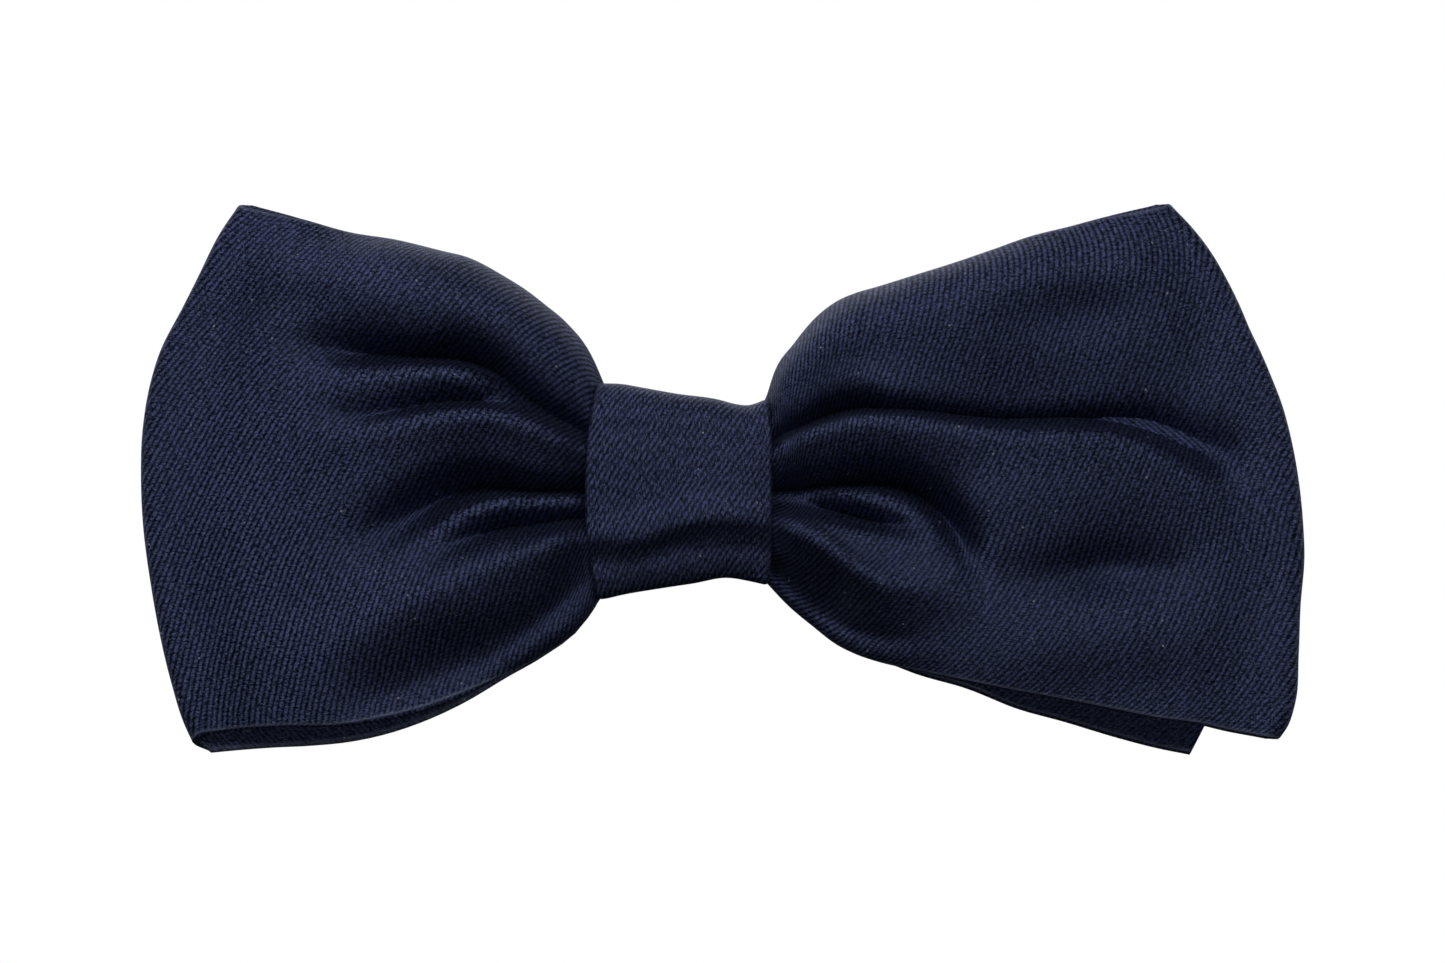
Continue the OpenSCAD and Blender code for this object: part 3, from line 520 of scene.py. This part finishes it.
def band_middle(u, v):
    """u runs from 0 at the lap's inner end up over the top, down the front and back up to 1."""
    x0 = v * BAND_HALF_W
    top, low = BAND_TOP(x0) - HALF, BAND_LOW(x0) + HALF
    front, back = BAND_FRONT, BAND_BACK
    r, r2, rb = BAND_R, BAND_R_LOW, BAND_R_BACK

    def part(i):
        return np.clip((u - BAND_STOPS[i]) / (BAND_STOPS[i + 1] - BAND_STOPS[i]), 0, 1)

    y, z = np.zeros_like(u), np.zeros_like(u)
    quarter = np.pi / 2

    def put(i, depth, height):
        here = (u >= BAND_STOPS[i]) & (u <= BAND_STOPS[i + 1])
        y[here], z[here] = depth[here], height[here]

    put(0, back + 0 * u, mix(BAND_TUCK, top - rb, part(0)))
    put(1, back + rb - rb * np.cos(quarter * part(1)), top - rb + rb * np.sin(quarter * part(1)))
    put(2, mix(back + rb, front - r, part(2)), top + 0 * u)
    put(3, front - r + r * np.sin(quarter * part(3)), top - r + r * np.cos(quarter * part(3)))
    put(4, front + 0 * u, mix(top - r, low + r2, part(4)))
    put(5, front - r2 + r2 * np.cos(quarter * part(5)), low + r2 - r2 * np.sin(quarter * part(5)))
    put(6, mix(front - r2, back + rb, part(6)), low + 0 * u)
    put(7, back + rb - (rb + .2) * np.sin(quarter * part(7)), low + rb - rb * np.cos(quarter * part(7)))
    outer = mix(low + rb, BAND_END, part(8))
    put(8, back - (.2 + (BAND_LAP - .2) * ease(-5.6, -3.2, outer)), outer)
    side = np.where(v < 0, BAND_LEFT(z), BAND_RIGHT(z)) - HALF
    x = v * side
    facing = ease(front - 2.5, front - .2, y)
    crown = BAND_CROWN * np.clip(1 - ((z - 2.5) / 8) ** 2, 0, 1)
    folds, _ = fold_field(x, z, BAND_FOLDS)
    hug = -BAND_HUG * np.abs(v) ** 6
    depth = y + facing * (crown + folds + hug)
    return np.stack([x, -depth, z], -1)


band_u = stations((0, 1, 210))
band_v = np.linspace(-1, 1, 45)
U, V = np.meshgrid(band_u, band_v, indexing="ij")
band_points = band_middle(U, V)
settle(band_points, 3)
knot_band = cloth_strip("knot_band", band_points, band_v * BAND_FLAT, HALF, len(band_u) // 2)

# %% [markdown]
# ## Threads
# A thread is a curve with a round section. One is wound three times round the waist and holds the
# gathers. The others are sewn: a running stitch through the loop's lap, slip stitches that close the
# tail's two ends, and a row down the lap at the back of the band.

# %% Threads
def thread(name, paths, diameter):
    """A thread along each path of points in mm."""
    data = bpy.data.curves.new(name, "CURVE")
    data.dimensions = "3D"
    data.bevel_depth = diameter / 2 * MM
    data.bevel_resolution = 2
    data.use_fill_caps = True
    for points in paths:
        spline = data.splines.new("NURBS")
        spline.points.add(len(points) - 1)
        for point, (x, y, z) in zip(spline.points, points):
            point.co = (x * MM, y * MM, z * MM, 1)
        spline.order_u = 3
        spline.use_endpoint_u = True
    piece = bpy.data.objects.new(name, data)
    bpy.context.scene.collection.objects.link(piece)
    return piece


def squared(c):
    """Pushes a sine or cosine out towards its ends, so that a round path becomes a soft square."""
    return np.sign(c) * np.abs(c) ** (1 / 3.2)


TURNS = 3
GATHER_Z, GATHER_NEAR, GATHER_FAR = 7.86, -8.9, -1.25     # half height, front and back, in mm
GATHER_SPREAD = 1.3
angle = np.linspace(0, 2 * np.pi * TURNS, 40 * TURNS)
gather = np.stack([np.linspace(-GATHER_SPREAD, GATHER_SPREAD, len(angle)),
                   (GATHER_NEAR + GATHER_FAR) / 2 + (GATHER_FAR - GATHER_NEAR) / 2 * squared(np.cos(angle)),
                   GATHER_Z * squared(np.sin(angle))], 1)
waist_thread = thread("waist_thread", [gather], .4)
seam = [(.35 * (i % 2), -(LAP_IN - HALF - .08) if i % 4 < 2 else -(LAP_OUT + HALF + .08), -6.2 + i * .62)
        for i in range(21)]
seam_stitches = thread("seam_stitches", [seam], .24)
end_paths = []
for s_end in (-1, 1):
    for v_at in np.linspace(-.86, .86, 15):
        here, inner = (tail_middle(np.array([s_end * k]), np.array([v_at]))[0] for k in (1, .978))
        outward = (here - inner) / np.linalg.norm(here - inner)
        slant = np.array([0, 0, .5])
        end_paths.append([inner - (0, HALF - .05, 0), inner - (0, HALF + .1, 0), here - (0, HALF + .1, 0),
                          here + outward * .16 + slant * .5 - (0, HALF * .6, 0),
                          here + outward * .16 + slant * .5 + (0, HALF * .6, 0),
                          here + slant + (0, HALF + .1, 0), inner + slant + (0, HALF + .1, 0),
                          inner + slant + (0, HALF - .05, 0)])
end_stitches = thread("end_stitches", end_paths, .2)
lap_paths = [[(x, 1.93, 1.5), (x, 2.06, 1.7), (x + .15, 2.1, 2.3), (x + .25, 1.95, 2.75), (x + .35, 1.5, 3.0),
              (x + .4, 1.15, 3.15), (x + .4, .9, 3.2)] for x in np.linspace(-7.6, 7.2, 12)]
lap_stitches = thread("lap_stitches", lap_paths, .26)
print(f"stitches: {len(end_paths)} at the tail's ends, {len(lap_paths)} at the back of the band")

# %% [markdown]
# ## Springs
# A torsion spring winds up along its coil, with one leg on the plate and the other under the thumb
# tab. Each is drawn as a curve along its wire, and `new_from_object` turns it into a mesh.

# %% Springs
PIVOT_X, PIVOT_Y = 18.075, 3.0   # middle of the right pin
WIRE, COIL_R = .56, 1.35         # diameter of the wire, radius of the coil
LEG_Z, COIL_Z = 1.3, 1.0         # heights of the legs, and of the coil's bending part between them
coil = np.linspace(-.5 * np.pi, 6.5 * np.pi, 127)
wire_path = np.concatenate([
    [(PIVOT_X - 5.6, WIRE / 2 + .03, -LEG_Z), (PIVOT_X - 3.6, WIRE / 2 + .12, -LEG_Z)],
    np.stack([PIVOT_X + COIL_R * np.cos(coil), PIVOT_Y + COIL_R * np.sin(coil),
              np.linspace(-LEG_Z, LEG_Z, len(coil))], 1),
    [(PIVOT_X - 2.8, PIVOT_Y + 1.85, LEG_Z), (PIVOT_X - 5.8, PIVOT_Y + 3.35, LEG_Z)]])
coil_springs = {}
for side, hand in (("right", 1), ("left", -1)):
    drawn = thread(side + "_spring_curve", [wire_path * (hand, 1, hand)], WIRE)
    drawn.data.resolution_u = 2
    wound = bpy.data.meshes.new_from_object(drawn)
    wound.shade_smooth()
    bpy.data.objects.remove(drawn)
    coil_springs[side] = bpy.data.objects.new(side + "_coil_spring", wound)
    bpy.context.scene.collection.objects.link(coil_springs[side])
    print(side, "coil spring:", len(wound.polygons), "faces")

# %% [markdown]
# ## Materials
# Each material is a tree of nodes. `add` makes one node with its settings, and links any input
# whose value is another node's output. Colours are written as sRGB and turned linear by `linear`.

# %% Material tools
def linear(code):
    """An sRGB hex colour as linear RGBA."""
    part = [int(code[i:i + 2], 16) / 255 for i in (0, 2, 4)]
    return (*[c / 12.92 if c <= .04045 else ((c + .055) / 1.055) ** 2.4 for c in part], 1)


def new_material(name):
    material = bpy.data.materials.new(name)
    material.use_nodes = True
    return material, material.node_tree, material.node_tree.nodes["Principled BSDF"]


def add(tree, kind, settings=None, **inputs):
    """One node with its settings. An input takes a value, or another node's output as a link."""
    node = tree.nodes.new(kind)
    for key, value in (settings or {}).items():
        setattr(node, key, value)
    for key, value in inputs.items():
        socket = node.inputs[int(key[1:])] if key[0] == "i" and key[1:].isdigit() else node.inputs[key]
        if isinstance(value, bpy.types.NodeSocket):
            tree.links.new(value, socket)
        else:
            socket.default_value = value
    return node


def math_node(tree, operation, a, b=0.0, clamp=False):
    return add(tree, "ShaderNodeMath", {"operation": operation, "use_clamp": clamp}, i0=a, i1=b).outputs[0]


# %% [markdown]
# ### Satin
# Satin is dark cloth with a soft gloss. Its fine slanting lines are drawn from the strip's own flat
# measure, so they bend and crowd with the cloth as woven lines do. Flecks and lint, painted glints
# and a painted highlight along the pressed edges keep it from looking like plastic.

# %% Satin
FINE_WEAVE = .27     # spacing in mm of the finer lines that cross the slanting ones
FINE_TURN = 48       # and their angle to them, in degrees
GLOSS = .95          # how far the yarn reflects in its own colour


def satin(name, dark, light, highlight_colour, angle, spacing, edge, edge_highlight_strength):
    """Navy satin. angle is that of the woven lines from the strip's length, spacing in mm."""
    material, tree, shader = new_material(name)
    flat = add(tree, "ShaderNodeUVMap", {"uv_map": "cloth_mm"}).outputs[0]

    def noise(vector, scale, detail=2.0, rough=.5):
        return add(tree, "ShaderNodeTexNoise", {"noise_dimensions": "2D"}, Vector=vector, Scale=scale,
                   Detail=detail, Roughness=rough).outputs["Fac"]

    def times(a, b):
        return math_node(tree, "MULTIPLY", a, b)

    # woven lines: a wave across the slant, a little uneven
    split = add(tree, "ShaderNodeSeparateXYZ", Vector=flat)
    across = math_node(tree, "SUBTRACT", times(split.outputs[0], np.sin(np.radians(angle)) / spacing),
                       times(split.outputs[1], np.cos(np.radians(angle)) / spacing))
    across = math_node(tree, "ADD", across, times(noise(flat, .2), .45))
    across = math_node(tree, "ADD", across, times(noise(flat, 1.6), .22))
    wave = math_node(tree, "SINE", times(across, 2 * np.pi))
    ridge = math_node(tree, "ADD", times(wave, .42), .58)
    cross = np.radians(angle + FINE_TURN)
    fine = math_node(tree, "SUBTRACT", times(split.outputs[0], np.sin(cross) / FINE_WEAVE),
                     times(split.outputs[1], np.cos(cross) / FINE_WEAVE))
    fine = math_node(tree, "ADD", fine, times(noise(flat, 1.1), .8))
    picks = math_node(tree, "ADD", times(math_node(tree, "SINE", times(fine, 2 * np.pi)), .13), .87)
    ridge = times(ridge, picks)
    # yarn flecks: long along the slant, short across it
    turned = add(tree, "ShaderNodeMapping", {"vector_type": "POINT"}, Vector=flat,
                 Rotation=(0, 0, -np.radians(angle)), Scale=(1.5, 4.2, 1)).outputs[0]
    yarn = add(tree, "ShaderNodeMapRange", Value=noise(turned, 1.0, 4.0, .8), i1=.4, i2=.64)
    grain = add(tree, "ShaderNodeMapRange", Value=noise(flat, 6.5, 2.0, .7), i1=.32, i2=.68, i3=.4, i4=1.5)
    fleck = times(math_node(tree, "ADD", times(ridge, .2), times(times(ridge, yarn.outputs[0]), 1.45)),
                  grain.outputs[0])
    patch = add(tree, "ShaderNodeMapRange", Value=noise(flat, .09, 3.0), i1=.3, i2=.7, i3=.86, i4=1.12)
    fleck = times(fleck, patch.outputs[0])
    colour = add(tree, "ShaderNodeValToRGB", Fac=fleck)
    colour.color_ramp.elements[0].position = .02
    colour.color_ramp.elements[0].color = linear(dark)
    colour.color_ramp.elements[1].position = 1.0
    colour.color_ramp.elements[1].color = linear(light)
    # painted glints: single filaments lightened towards the highlight colour
    glint = add(tree, "ShaderNodeMapRange", Value=noise(turned, 2.3, 2.0, .6), i1=.65, i2=.78)
    glinting = add(tree, "ShaderNodeMix", {"data_type": "RGBA"}, Factor=times(glint.outputs[0], .8),
                   A=colour.outputs[0], B=linear(highlight_colour))
    # painted highlight: the pressed edges are drawn a little lighter, where their rim catches light
    from_middle = math_node(tree, "ABSOLUTE", split.outputs[1])
    inner_side = add(tree, "ShaderNodeMapRange", Value=from_middle, i1=edge - .3, i2=edge)
    outer_side = add(tree, "ShaderNodeMapRange", Value=from_middle, i1=edge + .3, i2=edge + .6,
                     i3=1.0, i4=0.0)
    edge_highlight = times(times(inner_side.outputs[0], outer_side.outputs[0]),
                 times(noise(flat, .8, 3.0, .7), edge_highlight_strength))
    with_edge_highlight = add(tree, "ShaderNodeMix", {"data_type": "RGBA"}, Factor=edge_highlight, A=glinting.outputs["Result"],
                B=linear(highlight_colour))
    # specks of lint: one small dot in some of the cells
    cells = add(tree, "ShaderNodeTexVoronoi", {"voronoi_dimensions": "2D"}, Vector=flat, Scale=.3)
    shade = add(tree, "ShaderNodeSeparateColor", Color=cells.outputs["Color"])
    chosen = math_node(tree, "GREATER_THAN", shade.outputs[0], .82)
    size = math_node(tree, "ADD", times(shade.outputs[1], .024), .012)
    dot = add(tree, "ShaderNodeMapRange", Value=math_node(tree, "DIVIDE", cells.outputs["Distance"], size),
              i1=.7, i2=1.1, i3=1.0, i4=0.0)
    speck = times(dot.outputs[0], chosen)
    painted = add(tree, "ShaderNodeMix", {"data_type": "RGBA"}, Factor=speck,
                  A=with_edge_highlight.outputs["Result"], B=linear("a9acb4"))
    bump = add(tree, "ShaderNodeBump", Height=fleck, Strength=.4, Distance=.0001)
    rough = add(tree, "ShaderNodeMapRange", Value=fleck, i3=.62, i4=.5)
    tree.links.new(painted.outputs["Result"], shader.inputs["Base Color"])
    tree.links.new(rough.outputs[0], shader.inputs["Roughness"])
    tree.links.new(bump.outputs[0], shader.inputs["Normal"])
    # lint and the painted edge highlight have less of the yarn's own gloss
    dull = times(math_node(tree, "MAXIMUM", speck, times(edge_highlight, .5)), GLOSS)
    tree.links.new(math_node(tree, "SUBTRACT", GLOSS, dull), shader.inputs["Metallic"])
    shader.inputs["Sheen Weight"].default_value = .05
    shader.inputs["Sheen Roughness"].default_value = .35
    shader.inputs["Sheen Tint"].default_value = linear("a9b6e0")
    return material


# the last two numbers: where the pressed edge lies, and how strong its painted highlight is
navy_satin = satin("navy_satin", "02040c", "636fa0", "b4bcd8", 66, .56, STRIP_W / 2, .38)
band_satin = satin("knot_satin", "02040c", "636fa0", "b4bcd8", 32.4, .54, BAND_FLAT, .06)
print("satin nodes:", len(navy_satin.node_tree.nodes))

# %% [markdown]
# ### Thread
# A wave texture set on the slant shows the two plies of the thread.

# %% Thread
def twisted_thread(name, dark, light):
    """Sewing thread: two plies that show as fine slanting stripes."""
    material, tree, shader = new_material(name)
    where = add(tree, "ShaderNodeTexCoord").outputs["Object"]
    plies = add(tree, "ShaderNodeTexWave", {"bands_direction": "DIAGONAL"}, Vector=where, Scale=900.0,
                Distortion=1.5, Detail=1.0)
    colour = add(tree, "ShaderNodeMix", {"data_type": "RGBA"}, Factor=plies.outputs["Fac"], A=linear(dark),
                 B=linear(light))
    bump = add(tree, "ShaderNodeBump", Height=plies.outputs["Fac"], Strength=.4, Distance=.00005)
    tree.links.new(colour.outputs["Result"], shader.inputs["Base Color"])
    tree.links.new(bump.outputs[0], shader.inputs["Normal"])
    shader.inputs["Roughness"].default_value = .55
    return material


navy_thread = twisted_thread("navy_sewing_thread", "090c18", "262d47")

# %% [markdown]
# ### Metal
# Two noises make the metal real. One is stretched lengthwise into fine scratches, and the other
# leaves soft marks. Both change the roughness. The metal solids of the frame only get a material.

# %% Metal
def metal(name, colour, roughness):
    """Drawn or rolled metal: fine lengthwise scratches, and handling marks that dull it a little."""
    material, tree, shader = new_material(name)
    where = add(tree, "ShaderNodeTexCoord").outputs["Object"]
    drawn = add(tree, "ShaderNodeMapping", {"vector_type": "POINT"}, Vector=where,
                Scale=(180, 2600, 2600)).outputs[0]
    scratch = add(tree, "ShaderNodeTexNoise", Vector=drawn, Scale=1.0, Detail=3.0, Roughness=.7)
    marks = add(tree, "ShaderNodeTexNoise", Vector=where, Scale=420.0, Detail=4.0, Roughness=.6)
    both = math_node(tree, "ADD", math_node(tree, "MULTIPLY", scratch.outputs["Fac"], .55),
                     math_node(tree, "MULTIPLY", marks.outputs["Fac"], .45))
    rough = add(tree, "ShaderNodeMapRange", Value=both, i1=.3, i2=.7, i3=roughness * .75, i4=roughness * 1.5)
    tint = add(tree, "ShaderNodeMapRange", Value=marks.outputs["Fac"], i1=.35, i2=.7, i3=1.0, i4=.84)
    colour_now = add(tree, "ShaderNodeMix", {"data_type": "RGBA", "blend_type": "MULTIPLY"}, Factor=1.0,
                     A=linear(colour), B=tint.outputs[0])
    bump = add(tree, "ShaderNodeBump", Height=scratch.outputs["Fac"], Strength=.25, Distance=.00002)
    tree.links.new(colour_now.outputs["Result"], shader.inputs["Base Color"])
    tree.links.new(rough.outputs[0], shader.inputs["Roughness"])
    tree.links.new(bump.outputs[0], shader.inputs["Normal"])
    shader.inputs["Metallic"].default_value = 1
    return material


plated_steel = metal("nickel_plated_steel", "d6d7d8", .34)
pin_steel = metal("bright_steel_pin", "c4c6c8", .36)
spring_wire = metal("spring_wire", "a4a7a9", .4)

METAL_OF = {"clip_base": plated_steel, "left_jaw": plated_steel, "right_jaw": plated_steel,
            "left_pin": pin_steel, "right_pin": pin_steel}
for node_name, material in METAL_OF.items():
    node_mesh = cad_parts[node_name].data
    node_mesh.materials.clear()
    node_mesh.materials.append(material)
print("metal parts:", ", ".join(METAL_OF))

# %% Put the pieces on the bow
for piece, material, slot_name in ((bow_loop, navy_satin, "navy_satin"), (bow_tail, navy_satin, "navy_satin"),
                                   (knot_band, band_satin, "band_satin")):
    piece.data.materials.append(material)
    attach(piece, "bow")
for piece, node_name in ((waist_thread, "gather_thread"), (seam_stitches, "loop_seam_stitches"),
                         (end_stitches, "tail_end_stitches"), (lap_stitches, "band_stitches")):
    piece.data.materials.append(navy_thread)
    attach(piece, "bow")
    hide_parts(node_name)
for side, hand in (("right", 1), ("left", -1)):
    piece = coil_springs[side]
    piece.data.materials.append(spring_wire)
    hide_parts(side + "_spring")
    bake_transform(piece)
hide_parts("loop_satin", "loop_lining")
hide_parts("tail_satin", "tail_lining")
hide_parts("band_satin", "band_lining")

# %% [markdown]
# ## Floor, light and camera
# A plain pale floor lies below, in a white surround. A large soft light above the front draws the
# bright crests of the folds and a weaker one fills from below. Four more light the back, the two
# sides and the top, so that the object can be seen from everywhere.

# %% Stage
FLOOR_Z = -.085
bpy.ops.mesh.primitive_plane_add(size=1.0, location=(0, 0, FLOOR_Z))
floor = bpy.context.object
floor.name = "floor"
floor_material, _, floor_shader = new_material("pale_floor")
floor_shader.inputs["Base Color"].default_value = linear("e6e6e6")
floor_shader.inputs["Roughness"].default_value = .9
floor.data.materials.append(floor_material)
floor.visible_glossy = False    # the satin shows the lamps, and not a glow from below

# %% Surround
WHITE = (1, 1, 1, 1)
world = bpy.data.worlds.new("studio")
bpy.context.scene.world = world
world.use_nodes = True
surround = world.node_tree
surround.nodes.clear()
path = add(surround, "ShaderNodeLightPath")
felt = add(surround, "ShaderNodeBackground", Color=WHITE, Strength=.01)   # what the object gets
seen = add(surround, "ShaderNodeBackground", Color=WHITE, Strength=1.0)   # what the camera sees
both = add(surround, "ShaderNodeMixShader", i0=path.outputs["Is Camera Ray"], i1=felt.outputs[0],
           i2=seen.outputs[0])
add(surround, "ShaderNodeOutputWorld", Surface=both.outputs[0])


# %% Lights
def soft_light(name, place, aim, size, power):
    """A rectangular lamp of this size in metres and power in watts, turned towards aim."""
    light = bpy.data.lights.new(name, "AREA")
    light.shape, light.size, light.size_y, light.energy = "RECTANGLE", size[0], size[1], power
    lamp = bpy.data.objects.new(name, light)
    lamp.location = place
    lamp.rotation_euler = (Vector(aim) - Vector(place)).to_track_quat("-Z", "Y").to_euler()
    bpy.context.scene.collection.objects.link(lamp)
    print(f"{name}: {power} W")


BOW = (0, 0, 0)
soft_light("key_light", (0, -.85, .62), BOW, (1.2, .4), 4.8)
soft_light("front_light", (0, -1.3, -.35), BOW, (1.4, .7), 3.2)
soft_light("rear_light", (0, .8, .35), BOW, (1.2, .9), 4)
soft_light("left_light", (-1, .35, .1), BOW, (.5, 1), 2)
soft_light("right_light", (1, .35, .1), BOW, (.5, 1), 2)
soft_light("overhead_light", (-.35, .15, .85), BOW, (.7, .3), 1.5)

# %% Camera
camera_data = bpy.data.cameras.new("camera")
camera = bpy.data.objects.new("camera", camera_data)
bpy.context.scene.collection.objects.link(camera)
VIEW_X, VIEW_Y, VIEW_Z = .0045, -.006, .0009    # middle of what the camera sees
VIEW_W = .1486                                  # and its width
DISTANCE = 1.1
SENSOR_MM = 36
camera.location = (VIEW_X, VIEW_Y - DISTANCE, VIEW_Z)
camera.rotation_euler = (np.pi / 2, 0, 0)
camera_data.sensor_width = SENSOR_MM
camera_data.lens = SENSOR_MM * DISTANCE / VIEW_W
bpy.context.scene.camera = camera
bpy.context.scene.view_settings.view_transform = "Standard"
